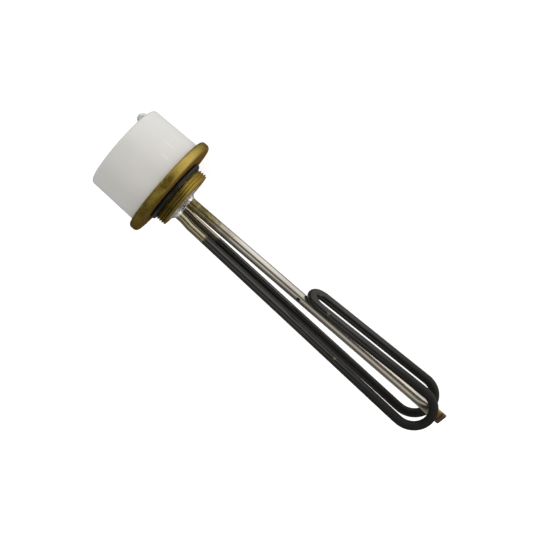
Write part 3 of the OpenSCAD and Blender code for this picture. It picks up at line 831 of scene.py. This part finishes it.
# ---------------------------------------------------------------- cover and its fixing
def make_cover_shell():
    lean = math.atan((cover_r1 - cover_r2) / cover_len)
    side = cover_r2 + math.tan(lean) * cover_round
    cr = side - cover_round / math.cos(lean)
    in_end = end_x + cover_wall + 0.3
    in1, in2 = cover_r1 - cover_wall, cover_r2 - cover_wall
    prof = [(end_x, 0.4), (end_x, cr - 6)]
    prof += arc(end_x + cover_round, cr, cover_round, 180, 90 + math.degrees(lean), 14)
    prof += [(back_x - 0.35, cover_r1 - 0.02), (back_x - 0.1, cover_r1 - 0.1), (back_x, cover_r1 - 0.35), (back_x, in1 + 0.3), (back_x - 0.3, in1)]
    prof += arc(in_end + 1.6, in2 - 1.6, 1.6, 90, 180, 8) + [(in_end, 20.0), (in_end, 0.4)]
    shell = turned("shell", prof, 200)
    # the profile begins and ends near the axis, so the two caps close the end wall
    cut(shell, cylinder("hole", end_x - 1, in_end + 1, stud_r + 0.3, (stud_y, stud_z), 40))
    cut(shell, cylinder("hole", end_x - 1, in_end + 1, 6.6, (grommet_y, grommet_z), 72))
    return piece(shell, "cover_moulded", cover_plastic, "cover_set", ["cover"], 35)


make_cover_shell()

g = [(end_x - 2.2, 5.0), (end_x - 2.2, 7.9), (end_x - 1.9, 8.4), (end_x - 1.2, 8.6), (end_x, 8.6), (end_x, 6.6), (end_x + 2.6, 6.6), (end_x + 2.6, 8.2), (end_x + 3.6, 8.2), (end_x + 4.4, 7.4), (end_x + 4.4, 5.0), (end_x + 3.8, 4.5), (end_x - 1.6, 4.5)]
piece(turned("grommet", g, 96, (grommet_y, grommet_z), closed=True), "cable_grommet_soft", grommet_rubber, "cover_set", ["cable_grommet"], 40)

w = [(end_x - 1, stud_r + 0.25), (end_x - 1, 4.8), (end_x - 0.85, 5.0), (end_x - 0.1, 5.0), (end_x, 4.85), (end_x, stud_r + 0.25)]
piece(turned("washer", w, 96, (stud_y, stud_z), closed=True), "cover_washer_plated", zinc, "cover_set", ["cover_washer"], 35)


def make_cover_nut():
    af = 8.2
    full = af / 2 / math.cos(math.pi / 6) + 0.01
    rows = [(end_x - 1.0, af / 2 + 0.25)] + [(x, r) for x, r in chamfer_rows(end_x - 1.05, end_x - 4, af / 2 + 0.3, 0.6, full, 4)]
    rows += [(x, r) for x, r in reversed(chamfer_rows(end_x - 4.4, end_x - 1, af / 2 + 0.05, 0.6, full, 6))]
    dome_r = 4.05
    for i in range(1, 13):
        a = i / 12 * math.pi / 2
        rows.append((end_x - 4.4 - 2.55 * math.sin(a), max(0.05, dome_r * math.cos(a))))
    nut = hex_block("nut", rows, af, stud_dir, 144, (stud_y, stud_z))
    cut(nut, cylinder("hole", end_x - 5.9, end_x, stud_r + 0.05, (stud_y, stud_z), 48))
    return piece(nut, "cover_nut_domed", zinc, "cover_set", ["cover_nut"], 28)


make_cover_nut()


def threaded_rod(name, x0, x1, r, pitch, at, n=40, chamfer=0.5):
    """A threaded rod along X with chamfered ends."""
    th = np.arange(n) * TAU / n
    depth = 0.6 * pitch
    rings = []
    for x in np.linspace(x0, x1, int((x1 - x0) / pitch * 9) + 2):
        a = r - depth + depth * thread_wave(x / pitch - th / TAU)
        lim = r - chamfer + min(x - x0, x1 - x)
        a = np.minimum(a, max(lim, 0.2))
        rings.append([(x, at[0] + q * math.cos(t), at[1] + q * math.sin(t)) for q, t in zip(a, th)])
    return make_object(name, *skin(rings))


piece(threaded_rod("stud", end_x - 5.6, boss_x + 5, stud_r, 0.8, (stud_y, stud_z)), "cover_stud_threaded", zinc, "head", ["cover_stud"], 45)


# ---------------------------------------------------------------- wiring space
lid_x, top_x = boss_x - 22.0, boss_x - 24.0
body_y0, body_y1, body_z = -6.3, 20.7, 23.0
dial_y, dial_z = 8.0, 10.5
button_y, button_z, button_x = 14.0, -13.5, lid_x + 1.3
block_x, block_z = -30.8, 16.0
legs = ((leg_upper_y, leg_cc / 2), (leg_lower_y, -leg_cc / 2))


def box(name, x0, x1, y0, y1, z0, z1, turn=0.0, at=(0.0, 0.0)):
    """A block in the corner coordinates given, turned about X and then moved to (y, z) = at."""
    c, q = math.cos(turn), math.sin(turn)
    verts = [(x, at[0] + y * c - z * q, at[1] + y * q + z * c) for x in (x0, x1) for y in (y0, y1) for z in (z0, z1)]
    return make_object(name, verts, [(0, 1, 3, 2), (4, 6, 7, 5), (0, 4, 5, 1), (2, 3, 7, 6), (0, 2, 6, 4), (1, 5, 7, 3)])


def block_rings(rows, y0, y1, z0, z1, r, n=6):
    """Rings of a block with rounded corners: rows of (x, inset from its sides)."""
    rings = []
    for x, d in rows:
        q = max(r - d, 0.12)
        ring = []
        for cy, cz, a0 in ((y1 - d - q, z1 - d - q, 0), (y0 + d + q, z1 - d - q, 90), (y0 + d + q, z0 + d + q, 180), (y1 - d - q, z0 + d + q, 270)):
            for i in range(n + 1):
                a = math.radians(a0 + 90 * i / n)
                ring.append((x, cy + q * math.cos(a), cz + q * math.sin(a)))
        rings.append(ring)
    return rings


def across(ob, x, z):
    """Lays a shape made along X along Y instead, at the given x and z."""
    ob.data.transform(Matrix.Translation((x, 0.0, z)) @ Matrix.Rotation(math.pi / 2, 4, "Z"))
    return ob


def make_control_body():
    inside = block_rings([(boss_x - 2.2, 0.8), (boss_x - 2.44, 0.24), (boss_x - 3.0, 0.0), (lid_x, 0.0)], body_y0 + 2, body_y1 - 2, -body_z + 2, body_z - 2, 1.2)
    outside = block_rings([(lid_x, 0.4), (lid_x + 0.12, 0.12), (lid_x + 0.4, 0.0), (boss_x - 0.7, 0.0), (boss_x - 0.2, 0.2), (boss_x, 0.7)], body_y0, body_y1, -body_z, body_z, 3.0)
    shell = make_object("shell", *skin(inside + outside))
    for y, z, x0, r in ((button_y, button_z, button_x + 5.2, 4.0), (1.2, 14.0, boss_x - 5.7, 3.2), (1.2, -14.5, boss_x - 4, 3.2)):
        join(shell, turned("post", [(x0, r - 0.4), (x0 + 0.4, r), (boss_x - 2.0, r)], 48, (y, z)))
    # low ribs on the outer walls
    for y in (1.0, 7.2, 13.4):
        for side in (-1, 1):
            join(shell, make_object("rib", *skin(block_rings([(lid_x + 2.2, 0.3), (lid_x + 2.6, 0.0), (boss_x - 1.6, 0.0), (boss_x - 1.2, 0.3)], y - 0.8, y + 0.8, side * (body_z - 0.1) - 0.55, side * (body_z - 0.1) + 0.55, 0.5))))
    for z in (-14.0, -7.0, 0.0, 7.0, 14.0):
        join(shell, make_object("rib", *skin(block_rings([(lid_x + 2.2, 0.3), (lid_x + 2.6, 0.0), (boss_x - 1.6, 0.0), (boss_x - 1.2, 0.3)], body_y1 - 0.65, body_y1 + 0.45, z - 0.8, z + 0.8, 0.5))))
    cut(shell, cylinder("hole", lid_x, boss_x + 1, 3.22, (1.2, 0.0), 48))
    return piece(shell, "control_body_moulded", resin, "head", ["control_body"], 30)


make_control_body()


def make_control_lid():
    rows = [(top_x, 1.3), (top_x + 0.12, 0.65), (top_x + 0.42, 0.2), (top_x + 0.95, 0.0), (lid_x - 0.4, 0.0), (lid_x - 0.12, 0.12), (lid_x, 0.4)]
    lid = make_object("lid", *skin(block_rings(rows, body_y0, body_y1, -body_z, body_z, 3.0)))
    cut(lid, cylinder("hole", top_x - 1, lid_x + 1, 2.56, (dial_y, dial_z), 48))
    cut(lid, turned("hole", [(top_x - 1, 4.06), (top_x, 3.46), (top_x + 0.4, 3.06), (lid_x + 1, 3.06)], 48, (button_y, button_z)))
    # marks around the dial, long at both ends and in the middle
    for i in range(11):
        far = 10.9 if i in (0, 5, 10) else 10.0
        cut(lid, box("mark", top_x - 1, top_x + 0.35, -0.22, 0.22, 8.7, far, math.radians(-135 + 27 * i), (dial_y, dial_z)))
    # snap openings in the two long edges
    for side in (-1, 1):
        cut(lid, box("snap", lid_x - 0.8, lid_x + 1, 4.0, 10.4, side * body_z - 0.6, side * body_z + 0.6))
    return piece(lid, "control_lid_moulded", resin, "head", ["control_lid"], 30)


make_control_lid()


def make_dial():
    n = 288
    th = np.arange(n) * TAU / n
    milled = 7.95 - 0.3 * (0.5 - 0.5 * np.cos(36 * th)) ** 1.5
    f = top_x - 3.3
    rows = [(f + 0.45, 5.0), (f + 0.35, 5.5), (f + 0.05, 5.85), (f, 6.0), (f, 6.8), (f + 0.08, 7.15), (f + 0.3, 7.4)]
    rows += [(f + 0.5, milled), (f + 2.6, milled), (f + 2.85, 7.45), (f + 3.0, 7.2), (f + 3.0, 2.5), (lid_x + 3.6, 2.5), (lid_x + 4.0, 2.1)]
    rings = []
    for x, r in rows:
        r = r * np.ones(n)
        rings.append([(x, dial_y + a * math.cos(t), dial_z + a * math.sin(t)) for a, t in zip(r, th)])
    dial = make_object("dial", *skin(rings))
    cut(dial, box("slot", f - 0.1, f + 1.3, -6.0, 6.0, -0.6, 0.6, 0.0, (dial_y, dial_z)))
    cut(dial, box("notch", f - 0.1, f + 3.5, -0.8, 0.8, 6.4, 9.4, 0.0, (dial_y, dial_z)))
    return piece(dial, "setting_dial_moulded", red_plastic, "dial", ["setting_dial"], 30)


make_dial()

b = top_x - 2.8
prof = [(b + 0.3, 0.4), (b + 0.2, 1.2), (b + 0.02, 1.9), (b + 0.02, 2.2), (b + 0.2, 2.65), (b + 0.5, 2.9), (b + 0.9, 3.0)]
prof += [(button_x - 1.2, 3.0), (button_x - 1.2, 4.0), (button_x - 1.0, 4.2), (button_x - 0.2, 4.2), (button_x, 4.0)]
piece(turned("button", prof, 72, (button_y, button_z)), "reset_button_moulded", white_plastic, "button", ["reset_button"], 35)


def make_spring():
    """A coil spring with its end turns closed."""
    x0, x1, wire, mean, turns, per = button_x, button_x + 5.2, 0.38, 2.6, 5.0, 28
    pts = []
    for i in range(int(turns * per) + 1):
        u = i / per
        rise = (x1 - x0 - 2 * wire) * float(np.clip((u - 0.6) / (turns - 1.2), 0.0, 1.0))
        a = u * TAU
        pts.append((x0 + wire + rise, button_y + mean * math.cos(a), button_z + mean * math.sin(a)))
    ob = piece(make_object("spring", *sweep(pts, wire, 12)), "reset_spring_coiled", zinc, "head", ["reset_spring"], 50)
    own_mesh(ob)


make_spring()

parts = []
for side in (-1, 1):
    z = side * block_z
    rows = [(block_x - 4.2, 0.4), (block_x - 3.8, 0.0), (block_x + 4.4, 0.0), (block_x + 4.8, 0.4)]
    block = make_object("block", *skin(block_rings(rows, body_y0 - 7, body_y0, z - 3.5, z + 3.5, 0.5)))
    cut(block, across(turned("hole", [(body_y0 - 8, 1.75), (body_y0 - 7, 1.75), (body_y0 - 6.6, 1.35), (body_y0 - 2, 1.35)], 40), block_x, z))
    cut(block, cylinder("hole", block_x - 5, block_x - 1.35, 1.5, (body_y0 - 3.5, z), 40))
    parts.append(block)
piece(put_together("blocks", parts), "terminal_blocks_cut", clean_brass, "head", ["terminal_blocks"], 30)


def slotted(name, head_x, under_x, end, head_r, shank_r, slot_w, slot_d, at, turn):
    """A cheese-head screw along X, with its head towards -X."""
    prof = [(head_x, head_r - 0.7), (head_x + 0.12, head_r - 0.32), (head_x + 0.45, head_r), (under_x - 0.12, head_r), (under_x, head_r - 0.12), (under_x, shank_r), (end - 0.3, shank_r), (end, shank_r - 0.3)]
    ob = turned(name, prof, 64, at)
    return cut(ob, box("slot", head_x - 0.5, head_x + slot_d, -head_r - 1, head_r + 1, -slot_w / 2, slot_w / 2, turn, at))


parts = [slotted("screw", block_x - 6, block_x - 4.2, block_x - 1.35, 2.8, 1.5, 0.8, 0.8, (body_y0 - 3.5, side * block_z), turn) for side, turn in ((-1, 0.0), (1, 0.0))]
piece(put_together("screws", parts), "block_screws_slotted", clean_brass, "head", ["block_screws"], 30)

parts = []
for at in legs:
    for x0 in (-17.7, -23.3):
        full = 3.5 / math.cos(math.pi / 6) + 0.01
        rows = chamfer_rows(x0, x0 + 3, 3.4, 0.55, full, 4) + list(reversed(chamfer_rows(x0 + 3.2, x0, 3.4, 0.55, full, 4)))
        parts.append(cut(hex_block("nut", rows, 7.0, math.pi / 2, 96, at), turned("bore", [(x0 - 0.1, 2.35), (x0, 2.3), (x0 + 0.3, 2.0), (x0 + 2.9, 2.0), (x0 + 3.2, 2.3), (x0 + 3.3, 2.35)], 40, at)))
piece(put_together("nuts", parts), "terminal_nuts_chamfered", clean_brass, "head", ["terminal_nuts"], 28)


def washer(name, x0, x1, r0, r1, at):
    e = 0.14
    return turned(name, [(x0, r0 + e), (x0, r1 - e), (x0 + e, r1), (x1 - e, r1), (x1, r1 - e), (x1, r0 + e), (x1 - e, r0), (x0 + e, r0)], 72, at, closed=True)


parts = [washer("washer", x0, x0 + 0.8, 2.1, 3.6, at) for at in legs for x0 in (-18.5, -20.1)]
piece(put_together("washers", parts), "terminal_washers_stamped", clean_brass, "head", ["terminal_washers"], 30)

parts = []
for (y, z), way in zip(legs, (upper, lower)):
    pin = threaded_rod("pin", -26.0, -6.0, 2.0, 0.7, (y, z), 32, 0.4)
    parts.append(join(pin, make_object("core", *sweep([(-6.3, y, z)] + list(way[:36]), 1.5, 24))))
piece(put_together("pins", parts), "cold_pins_threaded", zinc, "head", ["cold_pins"], 45)

prof = [(-5.0, 1.5), (-5.0, 2.3), (-4.85, 2.6), (-3.85, 3.95), (-3.5, 4.25), (-3.1, 4.4), (0.6, 4.4), (0.9, 4.28), (1.0, 4.05), (1.0, 3.2), (3.0, 3.2), (3.0, 1.5)]
piece(put_together("beads", [turned("bead", prof, 72, at, closed=True) for at in legs]), "end_seals_moulded", bead, "head", ["end_seals"], 35)


def make_lead_material():
    m = Mat("lead")
    broad = m.noise(160.0, 3.0, 0.5)
    fine = m.noise(1500.0, 4.0, 0.6)
    cover = m.mix(m.step(broad, 0.3, 0.7), (0.17, 0.045, 0.024), (0.23, 0.065, 0.035))
    tag = m.mul(m.step(m.x, px(-22.3), px(-22.2)), m.step(m.y, (leg_upper_y - 8.05) * 0.001, (leg_upper_y - 7.95) * 0.001))
    ends = m.mul(m.step(m.x, px(-28.0), px(-28.1)), m.step(m.y, -0.01535, -0.01525))
    metal = m.math("MAXIMUM", tag, ends)
    tinned = m.mix(fine, (0.62, 0.56, 0.44), (0.74, 0.69, 0.58))
    m.set(Base_Color=m.mix(metal, cover, tinned), Metallic=metal, Roughness=m.mixf(metal, m.step(fine, 0.3, 0.7, 0.4, 0.5), m.step(fine, 0.3, 0.7, 0.24, 0.36)))
    m.bump(fine, 0.2, 0.0001)
    return m.m


def make_link_lead():
    y, z = leg_upper_y, leg_cc / 2
    tag = turned("tag", [(-19.3, 2.2), (-19.3, 3.65), (-19.15, 3.8), (-18.65, 3.8), (-18.5, 3.65), (-18.5, 2.2), (-18.65, 2.05), (-19.15, 2.05)], 72, (y, z), closed=True)
    join(tag, make_object("tongue", *skin(block_rings([(-19.3, 0.12), (-19.18, 0.0), (-18.62, 0.0), (-18.5, 0.12)], y - 7.6, y - 2.9, z - 1.5, z + 1.5, 0.4))))
    barrel = [(y - 8.0, 1.45), (y - 7.85, 1.62), (y - 7.5, 1.7), (y - 7.2, 1.5), (y - 6.7, 1.46), (y - 6.2, 1.5), (y - 5.9, 1.7), (y - 5.2, 1.7), (y - 5.0, 1.5)]
    join(tag, across(turned("barrel", barrel, 40), -20.2, z))
    p = Path((-20.2, y - 6, z))
    p.f = np.array([[0.0, 1.0, 0.0], [-1.0, 0.0, 0.0], [0.0, 0.0, 1.0]])
    p.go(1.5, 2).turn(5.0, 90, math.pi, 12).go(0.6, 1).turn(5.0, 90, math.pi / 2, 12).go(block_z - leg_cc / 2 - 10, 1).turn(5.0, 90, math.pi, 12)
    end = -3.9 - leg_upper_y
    p.go(end - 3.8, 4).go(0.06, 1).go(3.74, 3)
    radii = [1.3] * (len(p.points) - 4) + [0.95] * 4
    join(tag, make_object("wire", *sweep(p.points, radii, 28)))
    return piece(tag, "link_lead_crimped", make_lead_material(), "head", ["link_lead"], 35)


make_link_lead()

piece(washer("washer", boss_x - 1.2, boss_x, 2.1, 4.6, (-stud_y, -stud_z)), "earth_washer_stamped", clean_brass, "head", ["earth_washer"], 30)
piece(slotted("screw", boss_x - 4, boss_x - 1.2, boss_x + 6, 3.6, 2.0, 1.0, 1.2, (-stud_y, -stud_z), 0.5), "earth_screw_slotted", clean_brass, "head", ["earth_screw"], 30)


# ---------------------------------------------------------------- what stays as drawn
def dress(material, *names):
    for name in names:
        me = cad_nodes[name].data
        me.materials.clear()
        me.materials.append(material)


dress(powder, "element_insulation")
dress(coil_wire, "resistance_coil")
dress(zinc, "control_rod")
dress(clean_brass, "control_stem", "fixed_contact")
dress(strip, "switch_arm")


# ---------------------------------------------------------------- floor, light and camera
def make_floor():
    me = bpy.data.meshes.new("floor")
    s, z = 6.0, -0.0464
    me.from_pydata([(-s, -s, z), (s, -s, z), (s, s, z), (-s, s, z)], [], [(0, 1, 2, 3)])
    ob = bpy.data.objects.new("floor", me)
    bpy.context.scene.collection.objects.link(ob)
    m = Mat("pale_floor")
    m.set(Base_Color=(0.50, 0.50, 0.50, 1.0), Roughness=0.9, Emission_Color=(1.0, 1.0, 1.0, 1.0), Emission_Strength=0.80)
    m.b.inputs["Specular IOR Level"].default_value = 0.1
    me.materials.append(m.m)
    ob.visible_glossy = False  # a light table would flare along every rounded edge


def make_world():
    """Soft light in broad bands about the long axis: a wide bright side, a weaker strip overhead."""
    w = bpy.data.worlds.new("studio")
    bpy.context.scene.world = w
    w.use_nodes = True
    t = w.node_tree
    t.nodes.clear()
    out = t.nodes.new("ShaderNodeOutputWorld")
    bg = t.nodes.new("ShaderNodeBackground")
    co = t.nodes.new("ShaderNodeTexCoord")
    sep = t.nodes.new("ShaderNodeSeparateXYZ")
    t.links.new(co.outputs["Generated"], sep.inputs[0])
    at = t.nodes.new("ShaderNodeMath")
    at.operation = "ARCTAN2"
    t.links.new(sep.outputs[1], at.inputs[0])
    t.links.new(sep.outputs[2], at.inputs[1])
    mr = t.nodes.new("ShaderNodeMapRange")
    t.links.new(at.outputs[0], mr.inputs[0])
    for i, v in ((1, -math.pi), (2, math.pi), (3, 0.0), (4, 1.0)):
        mr.inputs[i].default_value = v
    ramp = t.nodes.new("ShaderNodeValToRGB")
    t.links.new(mr.outputs[0], ramp.inputs[0])
    e = ramp.color_ramp.elements
    while len(e) > 1:
        e.remove(e[-1])
    stops = [
        (-180, 0.12), (-125, 0.12), (-100, 0.22), (-86, 0.30), (-76, 0.24), (-64, 0.15), (-38, 0.15), (-26, 0.32), (-16, 0.60), (1, 0.60),
        (8, 0.18), (14, 0.12), (40, 0.12), (50, 0.75), (58, 0.95), (95, 0.95), (112, 0.90), (130, 0.68), (148, 0.46), (165, 0.22), (180, 0.12),
    ]
    for i, (deg, v) in enumerate(stops):
        q = e[0] if i == 0 else e.new((deg + 180) / 360)
        q.position = (deg + 180) / 360
        q.color = (v, v * 0.965, v * 0.89, 1.0) if -40 < deg < 4 else (v, v * 0.985, v * 0.965, 1.0)
    t.links.new(ramp.outputs[0], bg.inputs[0])
    bg.inputs[1].default_value = 1.2
    t.links.new(bg.outputs[0], out.inputs[0])


def make_backdrop():
    """A pale paper wall far around the part, only to be seen behind it."""
    me = bpy.data.meshes.new("backdrop")
    n, r = 96, 5.5
    verts = [(r * math.cos(i * TAU / n), r * math.sin(i * TAU / n), z) for z in (-0.06, 6.0) for i in range(n)]
    me.from_pydata(verts, [], [(i, (i + 1) % n, n + (i + 1) % n, n + i) for i in range(n)])
    ob = bpy.data.objects.new("backdrop", me)
    bpy.context.scene.collection.objects.link(ob)
    m = Mat("pale_wall")
    m.set(Base_Color=(0.0, 0.0, 0.0, 1.0), Roughness=1.0, Emission_Color=(1.0, 1.0, 0.995, 1.0), Emission_Strength=0.985)
    m.b.inputs["Specular IOR Level"].default_value = 0.0
    me.materials.append(m.m)
    ob.visible_glossy = ob.visible_diffuse = ob.visible_shadow = False


def make_fill():
    """Two broad soft lights for the matt surfaces; the bands above make the reflections."""
    for name, alpha, strength in (("fill_top", -20.0, 0.93), ("fill_side", 75.0, 0.55)):
        data = bpy.data.lights.new(name, "SUN")
        data.energy = strength
        data.angle = math.radians(70)
        ob = bpy.data.objects.new(name, data)
        bpy.context.scene.collection.objects.link(ob)
        a = math.radians(alpha)
        ob.matrix_world = Vector((0.0, math.sin(a), math.cos(a))).to_track_quat("Z", "Y").to_matrix().to_4x4()
        ob.visible_glossy = False


def make_camera():
    """Above the hairpins, a little to their return side, with the long axis falling to the right."""
    tau, dl, psi = 0.044593, 0.005993, 0.412075
    sx, ty, dist = -103.638, 2.3674, 890.692
    ct, st, cd, sd, cp, sp = math.cos(tau), math.sin(tau), math.cos(dl), math.sin(dl), math.cos(psi), math.sin(psi)
    es = Vector((ct * cd, cp * sd + sp * st * cd, -sp * sd + cp * st * cd))
    et = Vector((ct * sd, -cp * cd + sp * st * sd, sp * cd + cp * st * sd))
    ef = Vector((st, -sp * ct, -cp * ct))
    a = math.radians(41)
    right = math.cos(a) * es - math.sin(a) * et
    down = math.sin(a) * es + math.cos(a) * et
    loc = TO_PART @ (-(sx * es + ty * et + dist * ef))
    data = bpy.data.cameras.new("camera")
    data.sensor_width = 36.0
    data.lens = 1076.5115 / 540 * 36.0
    data.clip_start, data.clip_end = 0.01, 50.0
    ob = bpy.data.objects.new("camera", data)
    bpy.context.scene.collection.objects.link(ob)
    m = Matrix.Identity(4)
    for i, v in enumerate((right, -down, -ef)):
        m.col[i][:3] = v
    m.col[3][:3] = loc
    ob.matrix_world = m
    bpy.context.scene.camera = ob


make_floor()
make_backdrop()
make_world()
make_fill()
make_camera()
bpy.context.scene.view_settings.view_transform = "Standard"
